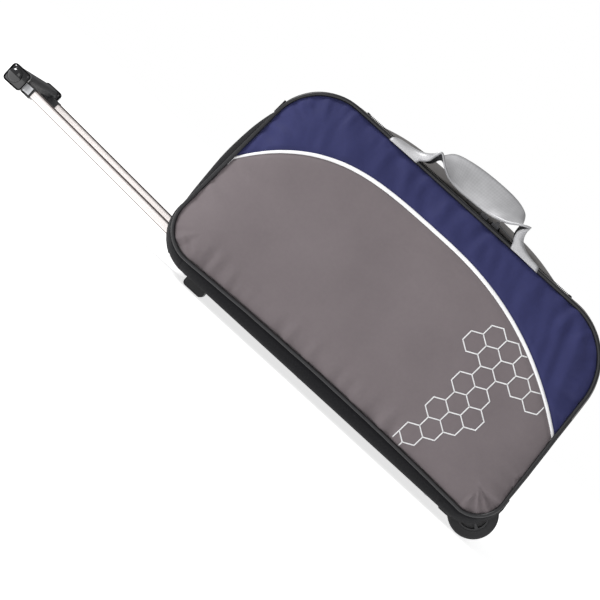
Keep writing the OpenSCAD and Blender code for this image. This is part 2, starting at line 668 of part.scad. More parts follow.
// A coil spring swept along X, its ends just clear of the bar and the shell
spring_r = 2.4;
wire_r = 0.4;
spring_turns = 5;
spring_clear = 0.2;
module spring() {
  steps = spring_turns * 12;
  length = cavity_in - bar_x - bar_t - 2 * (spring_clear + wire_r);
  rings = [for (k = [0:steps]) let (a = 360 * k / 12)
    [for (q = [0:5]) let (r = spring_r + wire_r * cos(60 * q))
      [length * k / steps + wire_r * sin(60 * q), r * cos(a), r * sin(a)]]];
  polyhedron([for (ring = rings) each ring], concat(
    [[for (q = [0:5]) q]], [[for (q = [5:-1:0]) steps * 6 + q]],
    [for (k = [0:steps - 1], q = [0:5]) each let (a = k * 6 + q, b = k * 6 + (q + 1) % 6)
      [[a, a + 6, b + 6], [a, b + 6, b]]]));
}
module button_springs() color(silver) trolley() for (side = [-1, 1])
  translate([bar_x + bar_t + spring_clear + wire_r, side * spring_y, grip_mid]) spring();

// ---- Lock: a forked wedge on each push rod draws its pin in as the button is pressed ----
wedge_gap = 0.3;
block_x = pin_x - 5.5;
wedge_x = block_x - 1.4 - wedge_gap / 0.75;

module out_from(side) scale([1, side, 1]) children();

module push_rod(side) color(silver) trolley() at_tube(side) out_from(side) {
  translate([bar_x + bar_t, 0, 0]) rotate([0, 90, 0])
    cylinder(h = block_x - 7 - bar_x - bar_t, r = 2);
  difference() {
    translate([0, 0, -4.2]) linear_extrude(8.4) polygon([
      [block_x - 8, -1.5], [wedge_x, -1.5], [wedge_x + 4.4, 1.8], [wedge_x + 4.4, 4.2],
      [block_x - 8, 4.2]]);
    translate([block_x - 3, -3, -pin_r - pin_gap]) cube([10, 9, 2 * (pin_r + pin_gap)]);
  }
}
module push_rod_l() push_rod(-1);
module push_rod_r() push_rod(1);

module lock_pin(side) color(silver) trolley() at_tube(side) out_from(side) {
  translate([0, 0, -4]) linear_extrude(8) polygon([[block_x, -4], [block_x + 10, -4],
    [block_x + 10, 2.5], [block_x + 4, 2.5], [block_x, -0.5]]);
  translate([pin_x, 2.4, 0]) rotate([-90, 0, 0]) cylinder(h = outer_w / 2 - 2.6, r = pin_r);
}
module lock_pin_l() lock_pin(-1);
module lock_pin_r() lock_pin(1);

// ---- Wheels ----
hub_r = 21;
bush_r = axle_r + 1.5;
cheek_t = 4.5;
house_half = (housing_out - housing_in) / 2;
well_half = house_half - cheek_t;
well_r = wheel_r + 3.5;
fender_t = 4;

// Draws with Z along the axle, pointing away from the bag's middle
module at_wheel(side) placed() translate([wheel_x, side * wheel_y, wheel_z])
  rotate([-90 * side, 0, 0]) children();

// A housing fills its window in the shell and follows the corner, a little proud of it
housing_proud = 1.5;
corner_face = [for (k = [i_housing:i_housing_end])
  stations[k][0] + stations[k][1] * (stations[k][2] + housing_proud)];
module wheel_housing(side) color(black_cloth) difference() {
  placed() through(side * wheel_y - house_half, side * wheel_y + house_half) union() {
    polygon(band(i_housing, i_housing_end, housing_proud, 6));
    intersection() {
      translate([wheel_x, wheel_z]) circle(well_r + fender_t);
      polygon(concat(corner_face, [[wheel_x - 50, wheel_z + 50]]));
    }
  }
  at_wheel(side) {
    translate([0, 0, -well_half]) cylinder(h = 2 * well_half, r = well_r);
    cylinder(h = 60, r = axle_r, center = true);
  }
}
module wheel_housing_l() wheel_housing(-1);
module wheel_housing_r() wheel_housing(1);

tyre_round = 3;
module tyre(side) color([0.1, 0.1, 0.1]) at_wheel(side) rotate_extrude() union() {
  translate([hub_r, tyre_round - wheel_w / 2]) square([wheel_r - hub_r, wheel_w - 2 * tyre_round]);
  translate([hub_r, -wheel_w / 2]) square([wheel_r - hub_r - tyre_round, wheel_w]);
  for (s = [-1, 1]) translate([wheel_r - tyre_round, s * (wheel_w / 2 - tyre_round)]) circle(tyre_round);
}
module tyre_l() tyre(-1);
module tyre_r() tyre(1);

// A hub has a rim, a boss and a web between them, with ribs standing in pockets on each face
spokes = 5;
hub_half = wheel_w / 2 - 2;
web_half = 2;
module hub_pockets() for (k = [0:spokes - 1]) rotate(k * 360 / spokes) intersection() {
  difference() {
    circle(hub_r - 2.5);
    circle(bush_r + 4);
  }
  polygon([[0, 0], [30, -17], [30, 17]]);
}
module wheel_hub(side) color([0.2, 0.2, 0.21]) at_wheel(side) difference() {
  translate([0, 0, -hub_half]) linear_extrude(2 * hub_half) difference() {
    circle(hub_r);
    circle(bush_r);
  }
  for (z = [-hub_half - 1, web_half]) translate([0, 0, z])
    linear_extrude(hub_half - web_half + 1) hub_pockets();
}
module wheel_hub_l() wheel_hub(-1);
module wheel_hub_r() wheel_hub(1);

bush_half = well_half - 0.3;
module wheel_bush(side) color([0.75, 0.73, 0.65]) at_wheel(side)
  translate([0, 0, -bush_half]) linear_extrude(2 * bush_half) difference() {
    circle(bush_r);
    circle(axle_r + axle_play);
  }
module wheel_bush_l() wheel_bush(-1);
module wheel_bush_r() wheel_bush(1);

axle_head_t = 2.5;
module axle(side) color(silver) at_wheel(side) {
  translate([0, 0, -house_half - axle_head_t])
    cylinder(h = 2 * house_half + axle_head_t, r = axle_r);
  translate([0, 0, house_half]) cylinder(h = axle_head_t, r = axle_r + 2);
}
module axle_l() axle(-1);
module axle_r() axle(1);

module axle_nuts() color(silver) for (side = [-1, 1]) at_wheel(side)
  translate([0, 0, -house_half - axle_head_t]) linear_extrude(axle_head_t) difference() {
    circle(axle_r + 2);
    circle(axle_r);
  }

front_lower_panel();
front_upper_panel();
front_stripe();
front_piping();
back_panel();
back_piping();
bottom_panel();
handle_end_panel();
wheel_end_panel();
top_gusset();
zipper_tape();
zipper_coil();
base_board();
base_rivets();
lid_panel();
lid_zipper_tape();
slider_a();
slider_b();
pull_tab_a();
pull_tab_b();
carry_strap_front();
carry_strap_back();
handle_bezel();
outer_tube_l();
outer_tube_r();
tube_bracket();
bracket_screws();
inner_tube_l();
inner_tube_r();
ferrule_l();
ferrule_r();
tube_collars();
grip_lower_shell();
grip_upper_shell();
grip_screws();
guide_plug_l();
guide_plug_r();
release_button();
release_bar();
button_springs();
push_rod_l();
push_rod_r();
lock_pin_l();
lock_pin_r();
wheel_housing_l();
wheel_housing_r();
tyre_l();
tyre_r();
wheel_hub_l();
wheel_hub_r();
wheel_bush_l();
wheel_bush_r();
axle_l();
axle_r();
axle_nuts();
foot_l();
foot_r();
foot_screws();
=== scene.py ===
# %% [markdown]
# # A rolling duffel bag
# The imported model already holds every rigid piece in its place: tubes, wheels, screws, boards.
# This script gives those pieces their finishes and makes the soft ones again as cloth: padded
# panels, a crowned top, piping, webbing and a zipper. Lengths here are in millimetres until a
# point is placed, because a bag's maker thinks in millimetres.

# %% Setting up
import math
import bmesh
import bpy
import numpy as np
from mathutils import Matrix, Vector, noise


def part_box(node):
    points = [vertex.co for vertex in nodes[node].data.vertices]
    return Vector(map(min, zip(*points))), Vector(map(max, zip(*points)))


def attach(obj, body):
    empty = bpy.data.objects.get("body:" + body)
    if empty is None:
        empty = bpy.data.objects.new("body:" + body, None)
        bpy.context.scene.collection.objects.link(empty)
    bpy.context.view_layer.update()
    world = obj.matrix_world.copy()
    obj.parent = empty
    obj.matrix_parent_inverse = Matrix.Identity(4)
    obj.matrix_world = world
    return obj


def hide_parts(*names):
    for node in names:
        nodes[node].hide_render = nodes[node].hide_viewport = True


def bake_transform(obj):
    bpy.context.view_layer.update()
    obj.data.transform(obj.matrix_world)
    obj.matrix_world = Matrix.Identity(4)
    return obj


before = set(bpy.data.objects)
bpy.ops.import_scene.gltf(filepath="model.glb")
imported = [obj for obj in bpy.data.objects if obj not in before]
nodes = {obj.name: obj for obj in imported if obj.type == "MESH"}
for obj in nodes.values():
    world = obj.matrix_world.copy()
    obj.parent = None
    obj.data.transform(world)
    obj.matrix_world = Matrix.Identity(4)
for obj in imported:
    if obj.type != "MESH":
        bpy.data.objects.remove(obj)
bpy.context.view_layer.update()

# %% [markdown]
# ## Writing materials as arithmetic
# A finish on real cloth or metal is a pattern worked out from a place on the surface. Blender
# writes such sums as chains of Math nodes. A small class that wraps a socket lets the sum be
# written as ordinary Python instead, and one method makes every other kind of node.

# %% Sockets that can be added and multiplied
class Wire:
    """An output of a material's node, to be used in sums."""

    def __init__(self, finish, socket):
        self.finish, self.socket = finish, socket

    def sum(self, operation, *values):
        return self.finish.node("ShaderNodeMath", {"operation": operation}, dict(enumerate(values)))

    def __add__(self, other): return self.sum("ADD", self, other)
    def __radd__(self, other): return self.sum("ADD", other, self)
    def __sub__(self, other): return self.sum("SUBTRACT", self, other)
    def __rsub__(self, other): return self.sum("SUBTRACT", other, self)
    def __mul__(self, other): return self.sum("MULTIPLY", self, other)
    def __rmul__(self, other): return self.sum("MULTIPLY", other, self)
    def __truediv__(self, other): return self.sum("DIVIDE", self, other)
    def __pow__(self, other): return self.sum("POWER", self, other)
    def sin(self): return self.sum("SINE", self)
    def abs(self): return self.sum("ABSOLUTE", self)
    def clamp(self, low=0.0, high=1.0):
        return self.finish.node("ShaderNodeClamp", {}, {0: self, 1: low, 2: high})


class Finish:
    """One material, with its shader and the places on the surface it is laid on."""

    def __init__(self, name, **fixed):
        self.material = bpy.data.materials.new(name)
        self.material.use_nodes = True
        self.tree = self.material.node_tree
        self.shader = self.tree.nodes["Principled BSDF"]
        for socket, value in fixed.items():
            self.shader.inputs[socket.replace("_", " ")].default_value = value

    def node(self, kind, settings=None, values=None, out=0):
        made = self.tree.nodes.new(kind)
        for key, value in (settings or {}).items():
            setattr(made, key, value)
        for key, value in (values or {}).items():
            if isinstance(value, Wire):
                self.tree.links.new(value.socket, made.inputs[key])
            else:
                made.inputs[key].default_value = value
        return Wire(self, made.outputs[out])

    def place(self, kind="Object"):
        point = self.node("ShaderNodeTexCoord", {}, {}, kind)
        split = [self.node("ShaderNodeSeparateXYZ", {}, {0: point}, k) for k in range(3)]
        return point, *split

    def noise(self, point, size, detail=3.0, rough=0.55, stretch=None):
        """Smooth random values from 0 to 1, with lumps of about this size in metres."""
        if stretch:
            point = self.node("ShaderNodeMapping", {}, {"Vector": point, "Scale": stretch})
        return self.node("ShaderNodeTexNoise", {}, {
            "Vector": point, "Scale": 1.0 / size, "Detail": detail, "Roughness": rough}, "Fac")

    def mix(self, amount, a, b):
        return self.node("ShaderNodeMix", {"data_type": "RGBA"}, {
            0: amount, 6: (*a, 1.0) if isinstance(a, tuple) else a,
            7: (*b, 1.0) if isinstance(b, tuple) else b}, 2)

    def lay(self, colour=None, rough=None, height=None, depth=0.0002, strength=0.6, metal=None):
        """Joins the worked-out colour, roughness and height to the shader."""
        for socket, wire in (("Base Color", colour), ("Roughness", rough), ("Metallic", metal)):
            if wire is not None:
                self.tree.links.new(wire.socket, self.shader.inputs[socket])
        if height is not None:
            bump = self.node("ShaderNodeBump", {}, {
                "Height": height, "Distance": depth, "Strength": strength})
            self.tree.links.new(bump.socket, self.shader.inputs["Normal"])
        return self.material

# %% [markdown]
# ## Woven cloth
# Bag cloth is a plain weave of thick yarn. Two waves at right angles, one along each yarn, give
# the little pillows of the weave. They are laid on each piece's own UV map, which is in metres
# here, so the yarn keeps its size and follows the cloth round its bends. The colour drifts a
# little from place to place, and the crowns of the yarn are rubbed lighter, which is what keeps
# cloth from looking like painted plastic.

# %% Cloth finishes
def woven(name, colour, light, yarn=0.0016, rough=0.85, sheen=0.1, depth=0.00022, mottle=0.09,
          shine=0.2):
    finish = Finish(name, Sheen_Weight=sheen, Sheen_Roughness=0.5, Specular_IOR_Level=shine)
    point = finish.place()[0]
    _, u, v, _ = finish.place("UV")
    k = 2 * math.pi / yarn
    pillows = (u * k).sin() * (v * k).sin() * 0.5 + 0.5
    drift = finish.noise(point, mottle)
    slub = finish.noise(point, 0.004, 2.0)
    shade = (pillows * 0.35 + drift * 0.8 + slub * 0.3 - 0.35).clamp()
    return finish.lay(finish.mix(shade, colour, light), slub * 0.14 + (rough - 0.07),
                      pillows + slub * 0.5, depth)


grey_cloth = woven("grey_cloth", (0.135, 0.115, 0.121), (0.2, 0.172, 0.18))
lid_cloth = woven("lid_cloth", (0.12, 0.113, 0.11), (0.18, 0.17, 0.166))
blue_cloth = woven("blue_cloth", (0.015, 0.017, 0.07), (0.034, 0.038, 0.135), rough=0.65,
                   sheen=0.12)
black_cloth = woven("black_cloth", (0.0025, 0.0025, 0.0035), (0.007, 0.007, 0.009), yarn=0.0026,
                    rough=0.75, sheen=0.03, depth=0.0004, shine=0.14)
tape_cloth = woven("tape_cloth", (0.004, 0.004, 0.005), (0.01, 0.01, 0.012), yarn=0.0012,
                   sheen=0.03, shine=0.14)
print("cloth finishes ready")

# %% [markdown]
# ## Satin tape and webbing
# The stripe and the carry straps are ribbed across their length and shine along it. The ribs
# follow the strap round its bends, so their pattern is laid on each strap's own UV map, in which
# U runs along the strap.

# %% Webbing finishes
def ribbed(name, colour, light, ribs=150.0, rough=0.4, across=11.0, sheen=0.15, metal=0.0):
    finish = Finish(name, Sheen_Weight=sheen, Specular_IOR_Level=0.5, Metallic=metal)
    _, u, v, _ = finish.place("UV")
    point = finish.place()[0]
    rib = (u * (2 * math.pi * ribs)).sin() * 0.5 + 0.5
    cord = (v * (2 * math.pi * across)).sin() * 0.5 + 0.5
    edge = ((v - 0.5).abs() * 2.0) ** 12.0
    wear = finish.noise(point, 0.03)
    shade = (rib * 0.1 + cord * 0.08 + wear * 0.9 - edge * 0.5).clamp()
    return finish.lay(finish.mix(shade, colour, light), wear * 0.2 + (rough - 0.1),
                      rib * 0.6 + cord * 0.4 - edge, 0.00012)


webbing = ribbed("webbing", (0.33, 0.33, 0.34), (0.62, 0.62, 0.635), rough=0.45, metal=0.4)
webbing_lining = ribbed("webbing_lining", (0.012, 0.012, 0.015), (0.03, 0.03, 0.035), rough=0.75,
                        sheen=0.05)
stripe_tape = ribbed("stripe_tape", (0.72, 0.72, 0.73), (0.93, 0.93, 0.94), ribs=260.0, across=3.0)

print_ink = Finish("print_ink", Roughness=0.5)
ink_point = print_ink.place()[0]
print_ink = print_ink.lay(
    print_ink.mix(print_ink.noise(ink_point, 0.006), (0.6, 0.6, 0.61), (0.82, 0.82, 0.83)),
    height=print_ink.noise(ink_point, 0.001))

# %% [markdown]
# ## Metal, plastic and rubber
# Drawn tube has fine lines along it, which a noise stretched far along X gives. Moulded plastic
# has an even grain. Rubber is given a rougher finish.

# %% Hard finishes
def drawn_metal(name, colour, light, rough=0.3, stretch=(4.0, 400.0, 400.0), metal=1.0):
    finish = Finish(name, Metallic=metal)
    point = finish.place()[0]
    lines = finish.noise(point, 1.0, 2.0, stretch=stretch)
    smudge = finish.noise(point, 0.05)
    return finish.lay(finish.mix((lines * 0.7 + smudge * 0.5 - 0.1).clamp(), colour, light),
                      smudge * 0.16 + lines * 0.08 + (rough - 0.12), lines, 0.00003, 0.4)


def moulded(name, colour, light, rough=0.5, grain=0.0009, depth=0.00008, coat=0.0):
    finish = Finish(name, Coat_Weight=coat)
    point = finish.place()[0]
    grains = finish.noise(point, grain, 2.0)
    haze = finish.noise(point, 0.03)
    return finish.lay(finish.mix((haze * 0.8 + grains * 0.3 - 0.1).clamp(), colour, light),
                      haze * 0.12 + grains * 0.1 + (rough - 0.11), grains, depth, 0.5)


# The tubes lean by this slope. Half their depth and their middle place the faces that are darkened
# with painted shade.
TUBE_SLOPE, TUBE_HALF = 0.04366, 0.0058
tube_low, tube_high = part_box("inner_tube_l")
TUBE_MIDDLE = tube_high.z - TUBE_HALF + tube_low.x * TUBE_SLOPE


def tube_finish():
    """Polished tube whose narrow top and bottom faces are painted dark brown as painted shade, and
    made rougher.
    """
    finish = Finish("tube_metal", Metallic=0.7)
    point, x, _, z = finish.place()
    lines = finish.noise(point, 1.0, 2.0, stretch=(4.0, 400.0, 400.0))
    across = (z + x * TUBE_SLOPE - TUBE_MIDDLE).abs() / TUBE_HALF
    # Painted shade: the narrow top and bottom faces of the tube are darkened in its colour and
    # roughened.
    painted_shade_faces = ((across - 0.74) * 7.0).clamp()
    bright = finish.mix(lines, (0.8, 0.74, 0.72), (0.96, 0.91, 0.89))
    return finish.lay(finish.mix(painted_shade_faces, bright, (0.09, 0.065, 0.06)),
                      lines * 0.1 + painted_shade_faces * 0.25 + 0.22, lines, 0.00003, 0.4)


tube_metal = tube_finish()
plate_metal = drawn_metal("plate_metal", (0.45, 0.46, 0.48), (0.8, 0.81, 0.83), 0.4,
                          (300.0, 300.0, 60.0), metal=0.3)
gunmetal = drawn_metal("gunmetal", (0.03, 0.03, 0.033), (0.09, 0.09, 0.095), 0.3,
                       (300.0, 300.0, 60.0))
bright_metal = drawn_metal("bright_metal", (0.5, 0.5, 0.52), (0.82, 0.82, 0.84), 0.24,
                           (300.0, 300.0, 60.0))
black_plastic = moulded("black_plastic", (0.006, 0.006, 0.007), (0.015, 0.015, 0.017), 0.5)
grip_plastic = moulded("grip_plastic", (0.016, 0.016, 0.018), (0.035, 0.035, 0.038), 0.6, 0.0016,
                       0.0003)
gloss_plastic = moulded("gloss_plastic", (0.006, 0.006, 0.007), (0.014, 0.014, 0.016), 0.18, 0.002,
                        0.00002, 0.6)
hub_plastic = moulded("hub_plastic", (0.016, 0.016, 0.018), (0.04, 0.04, 0.044), 0.4)
nylon = moulded("nylon", (0.42, 0.4, 0.34), (0.6, 0.58, 0.5), 0.45)
tyre_rubber = moulded("tyre_rubber", (0.008, 0.008, 0.009), (0.022, 0.022, 0.024), 0.66, 0.0012,
                      0.0002)
fibre_board = moulded("fibre_board", (0.03, 0.026, 0.022), (0.06, 0.052, 0.045), 0.75, 0.003,
                      0.0003)

# %% Each rigid node takes its finish
def dress(finish, *names):
    for name in names:
        for slot in nodes[name].material_slots:
            slot.material = finish


def both(name): return name + "_l", name + "_r"


dress(tube_metal, *both("inner_tube"), *both("outer_tube"))
dress(bright_metal, "base_rivets", "bracket_screws", "grip_screws", "foot_screws",
      *both("axle"), "axle_nuts",
      "button_springs", *both("push_rod"), *both("lock_pin"), "release_bar")
dress(gunmetal, "slider_a", "slider_b", "pull_tab_a", "pull_tab_b")
dress(black_plastic, "handle_bezel", "tube_bracket", *both("wheel_housing"), *both("foot"),
      "tube_collars", "release_button", *both("ferrule"))
dress(grip_plastic, "grip_upper_shell")
dress(gloss_plastic, "grip_lower_shell")
dress(hub_plastic, *both("wheel_hub"))
dress(nylon, *both("guide_plug"), *both("wheel_bush"))
dress(tyre_rubber, *both("tyre"))
dress(fibre_board, "base_board")
print("rigid nodes dressed")

# %% [markdown]
# ## Camera, floor and light
# A long lens keeps the bag's walls nearly parallel. The camera is rolled, which lays the bag's
# length along the frame's diagonal. Big soft lights from the front and from above give cloth its
# slow gradients, and the pale surroundings fill the shadows.

# %% The camera
camera = bpy.data.objects.new("camera", bpy.data.cameras.new("camera"))
bpy.context.collection.objects.link(camera)
camera.data.lens = 106.6
camera.data.sensor_width = 36.0
to_right = Vector((0.73834, 0.04920, 0.67263)).normalized()
forward = Vector((-0.03417, 0.99878, -0.03555)).normalized()
to_up = to_right.cross(forward).normalized()
turn = Matrix((to_right, to_up, -forward)).transposed()
camera.matrix_world = Matrix.Translation((0.1197, -2.2365, 0.15643)) @ turn.to_4x4()
bpy.context.scene.camera = camera

# %% Floor and lights
def lamp(name, place, aim, size, power):
    light = bpy.data.lights.new(name, "AREA")
    light.size, light.energy = size, power
    holder = bpy.data.objects.new(name, light)
    bpy.context.collection.objects.link(holder)
    holder.matrix_world = Matrix.Translation(place) @ (
        Vector(aim) - Vector(place)).to_track_quat("-Z", "Y").to_matrix().to_4x4()


floor_mesh = bmesh.new()
bmesh.ops.create_grid(floor_mesh, x_segments=1, y_segments=1, size=20.0)
floor = bpy.data.objects.new("floor", bpy.data.meshes.new("floor"))
floor_mesh.to_mesh(floor.data)
floor_mesh.free()
bpy.context.collection.objects.link(floor)
floor.location.z = -0.0005
pale = Finish("pale_floor", Roughness=0.9, Emission_Strength=0.75, Emission_Color=(1, 1, 1, 1))
pale.lay(pale.mix(pale.noise(pale.place()[0], 2.0), (0.93, 0.93, 0.93), (0.95, 0.95, 0.95)))
floor.data.materials.append(pale.material)

world = bpy.context.scene.world or bpy.data.worlds.new("studio")
bpy.context.scene.world = world
world.use_nodes = True
background = world.node_tree.nodes["Background"]
background.inputs["Color"].default_value = (1, 1, 1, 1)
seen = world.node_tree.nodes.new("ShaderNodeLightPath")
strength = world.node_tree.nodes.new("ShaderNodeMapRange")
strength.inputs["To Min"].default_value = 0.32
strength.inputs["To Max"].default_value = 1.0
world.node_tree.links.new(seen.outputs["Is Camera Ray"], strength.inputs["Value"])
world.node_tree.links.new(strength.outputs["Result"], background.inputs["Strength"])
bpy.context.scene.view_settings.view_transform = "Standard"
lamp("key", (-1.9, -1.0, 1.5), (0, 0, 0.15), 0.7, 47)
lamp("fill", (0.6, -2.4, 1.2), (0.1, 0, 0.15), 1.4, 8)
print("camera", [round(v, 3) for v in camera.matrix_world.translation])

# %% [markdown]
# ## The bag's outline
# Both side panels share one outline: a long box with four rounded corners, leaning in a little
# at each end. The shell between them bulges past it, most at the bottom and the handle end.
# The outline is worked out once, as stations that each hold a point, the way out, and how far
# the shell bulges there.

# %% Outline and stations
PANEL_LOW, PANEL_TALL = 25, 271
SEAM_Y, PANEL_Y, PRINT_Y, PIPING_Y = 140.0, 142.4, 142.75, 143.6
corners = [np.array(p, float) for p in ((-272, 25), (252, 25), (229.5, 296), (-258, 296))]
radii = [45.0, 38.0, 82.0, 70.0]
BOTTOM, WHEEL_END, TOP, HANDLE_END = range(4)


def direction(i):
    d = corners[(i + 1) % 4] - corners[i % 4]
    return d / np.linalg.norm(d)


def outward(d): return np.array([d[1], -d[0]])
def turning(i): return math.acos(float(direction(i + 3) @ direction(i)))
def cut(i): return radii[i] * math.tan(turning(i) / 2)
def arc_start(i): return corners[i] - direction(i + 3) * cut(i)
def arc_end(i): return corners[i] + direction(i) * cut(i)


def arc(i, steps, belly_a, belly_b, dip=0.0):
    out = outward(direction(i + 3))
    first, middle = math.atan2(out[1], out[0]), arc_start(i) - out * radii[i]
    stations = []
    for k in range(steps + 1):
        a = first + turning(i) * k / steps
        way = np.array([math.cos(a), math.sin(a)])
        belly = belly_a + (belly_b - belly_a) * k / steps - dip * math.sin(math.pi * k / steps)
        stations.append((middle + radii[i] * way, way, belly))
    return stations


def side(i, axis, values, belly):
    """Stations on a straight side, at these X (axis 0) or Z (axis 1) values."""
    d = direction(i)
    return [(corners[i] + d * (v - corners[i][axis]) / d[axis], outward(d), belly(v))
            for v in values]


def evenly(a, b, step):
    return list(np.linspace(a, b, max(2, int(round(abs(b - a) / step)) + 1)))


def arch(x):
    """The side seams rise a little in the middle of the bottom, where the bag isn't held up."""
    return 5.0 * max(0.0, 1.0 - (x / 215.0) ** 2)


def swell(y, flat=110.0, edge=30.0): return 1.0 - (max(0.0, abs(y) - flat) / edge) ** 2


def rise(p, y=140.0):
    """How far the arch lifts a point of the outline."""
    return arch(p[0]) * (1.0 - swell(y)) * min(1.0, max(0.0, (60.0 - p[1]) / 35.0))


ring = [s for i, b in ((1, 0), (2, 0), (3, 0), (0, 0)) for s in arc(i, 24, 0, 0)]
bottom_run = side(BOTTOM, 0, evenly(arc_end(0)[0], arc_start(1)[0], 12.0)[1:-1], lambda v: 0.0)
ring += bottom_run
seam_left = min(float(p[0] + way[0]) for p, way, _ in ring)
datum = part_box("front_piping")[0].x * 1000 - seam_left


def put(x, y, z):
    """A point in the bag maker's millimetres, placed in the model's metres."""
    return Vector(((x + datum) / 1000, y / 1000, z / 1000))


print("datum", round(datum, 2), "mm; outline stations", len(ring))

# %% [markdown]
# ## From a bmesh to a finished piece
# Every soft piece below starts as a flat grid whose vertices are carried to their places. One
# helper makes the grid and hands over each vertex's row and column. Another turns the bmesh
# into an object that rides on a body and stands for its CAD nodes.

# %% Helpers for pieces
def grid(columns, rows):
    bm = bmesh.new()
    bmesh.ops.create_grid(bm, x_segments=columns - 1, y_segments=rows - 1, size=0.5, calc_uvs=False)
    index = {v: (round((v.co.x + 0.5) * (columns - 1)), round((v.co.y + 0.5) * (rows - 1)))
             for v in bm.verts}
    assert len(index) == columns * rows
    uv = bm.loops.layers.uv.new("UVMap")
    for face in bm.faces:
        for loop in face.loops:
            i, j = index[loop.vert]
            loop[uv].uv = (i / (columns - 1), j / (rows - 1))
    return bm, index


def lay_flat(bm, index, along, across):
    """Gives a grid a UV map in metres, as its cloth was before it was sewn."""
    uv = bm.loops.layers.uv["UVMap"]
    for face in bm.faces:
        for loop in face.loops:
            i, j = index[loop.vert]
            loop[uv].uv = (along[i] / 1000, across[j] / 1000)


def face_out(bm, way):
    """Turns a sheet over if its faces mostly look away from this direction."""
    bm.normal_update()
    if sum(f.normal.dot(way(f)) * f.calc_area() for f in bm.faces) < 0:
        bmesh.ops.reverse_faces(bm, faces=bm.faces[:])


def piece(bm, name, body, finishes, stands_for=(), crease=40):
    mesh = bpy.data.meshes.new(name)
    bm.normal_update()
    for face in bm.faces:
        face.smooth = True
    for edge in bm.edges:
        edge.smooth = len(edge.link_faces) != 2 or edge.calc_face_angle(0) < math.radians(crease)
    bm.to_mesh(mesh)
    bm.free()
    made = bpy.data.objects.new(name, mesh)
    bpy.context.collection.objects.link(made)
    for finish in finishes:
        mesh.materials.append(finish)
    if body:
        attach(made, body)
    if stands_for:
        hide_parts(*stands_for)
    print(name, len(mesh.polygons), "faces")
    return made


def thicken(made, thickness, inner_slot=0):
    solid = made.modifiers.new("thickness", "SOLIDIFY")
    solid.thickness, solid.offset = thickness / 1000, -1.0
    solid.material_offset = inner_slot
    return made

# %% [markdown]
# ## The padded side panels
# Each side panel is foam between two cloths, sewn into the piping all round. The stitching holds
# its edge down, so the middle stands proud, and the cloth puckers where the seam gathers it.
# The height is worked out as one function of the place on the panel, so the three cloths of the
# front panel meet along their seams. The puckers run square to the piping: they change quickly
# along the seam and die away from it.

# %% Height of the padding
seam = np.array([p - way * 3.6 + np.array([0, rise(p)]) for p, way, _ in ring])
seam_next = np.roll(seam, -1, axis=0)
seam_step = seam_next - seam
seam_length = np.linalg.norm(seam_step, axis=1)
seam_along = np.concatenate([[0], np.cumsum(seam_length)[:-1]])


def from_seam(x, z):
    """Distance from the panel's edge, and how far along the edge the nearest place is."""
    p = np.array([x, z])
    t = np.clip(((p - seam) * seam_step).sum(1) / (seam_length ** 2 + 1e-9), 0, 1)
    gap = np.linalg.norm(p - (seam + seam_step * t[:, None]), axis=1)
    k = int(gap.argmin())
    return float(gap[k]), float(seam_along[k] + t[k] * seam_length[k])


CREST_X, CREST_Z = -10.0, 248.0


def stripe_z(x):
    if x < CREST_X:
        return CREST_Z - 96.0 * ((CREST_X - x) / 253.0) ** 3.7
    return CREST_Z - 87.0 * ((x - CREST_X) / 250.0) ** 2.2


def wave(*place, size): return noise.noise(Vector(place) / size)


def padding(x, z, front=True):
    """How far the panel stands out at this place."""
    edge, along = from_seam(x, z)
    crown = 11.5 * (1.0 - math.exp(-edge / 26.0)) - 0.5 * math.exp(-edge / 5.0)
    gather = max(0.15, 0.7 + wave(along, 7.0, 0.0, size=90.0) * 1.6)
    pucker = gather * 4.2 * wave(along, edge * 0.12, 3.0 if front else 9.0, size=11.0)
    pucker *= math.exp(-((edge - 8.0) / 19.0) ** 2)
    soft = 1.1 * wave(x * 0.7 + z, z - x * 0.4, 5.0 if front else 1.0, size=52.0)
    soft *= min(1, edge / 25.0)
    height = crown + pucker + soft
    if front:
        away = Vector((x + 228.0, z - 40.0)) @ Matrix(((0.83, 0.56), (-0.56, 0.83)))
        height -= 2.2 * math.exp(-(away.x / 11.0) ** 2 - (away.y / 2.6) ** 2)
        over = z - stripe_z(x)
        if over > 0:
            crease = 3.4 * wave(x * 1.3 + z * 0.5, z * 0.35, 2.0, size=20.0)
            height += crease * min(1, edge / 14.0) * min(1, over / 9.0)
        height -= 1.6 * math.exp(-((abs(over) - 2.6) / 4.0) ** 2)
    return height


def span(x):
    """Lowest and highest Z of the panel at this X."""
    crossings = []
    for (xa, za), (xb, zb) in zip(seam, seam_next):
        if (xa - x) * (xb - x) <= 0 and xa != xb:
            crossings.append(za + (zb - za) * (x - xa) / (xb - xa))
    return min(crossings), max(crossings)


left, right = float(seam[:, 0].min()) + 0.02, float(seam[:, 0].max()) - 0.02
print("panel", round(left, 1), "to", round(right, 1))

# %% The panel cloths
def cloth_panel(name, low, high, finish, stands_for, sign=-1, lift=0.0, rows=60):
    columns, middle, half = 170, (left + right) / 2, (right - left) / 2
    xs = [middle - half * math.cos(math.pi * k / (columns - 1)) for k in range(columns)]
    limits = []
    for x in xs:
        bottom, top = span(x)
        limits.append((min(max(bottom, low(x)), top), max(min(top, high(x)), bottom)))
    bm, index = grid(columns, rows)
    for v, (i, j) in index.items():
        x, (z0, z1) = xs[i], limits[i]
        z = z0 + (z1 - z0) * j / (rows - 1)
        v.co = put(x, sign * (PANEL_Y + lift + padding(x, z, sign < 0)), z)
    uv = bm.loops.layers.uv["UVMap"]
    if finish is not stripe_tape:
        for face in bm.faces:
            for loop in face.loops:
                loop[uv].uv = (loop.vert.co.x, loop.vert.co.z)
    bmesh.ops.remove_doubles(bm, verts=bm.verts[:], dist=0.00001)
    face_out(bm, lambda f: Vector((0, sign, 0)))
    made = piece(bm, name, "bag", [finish], stands_for)
    return thicken(made, 2.5)


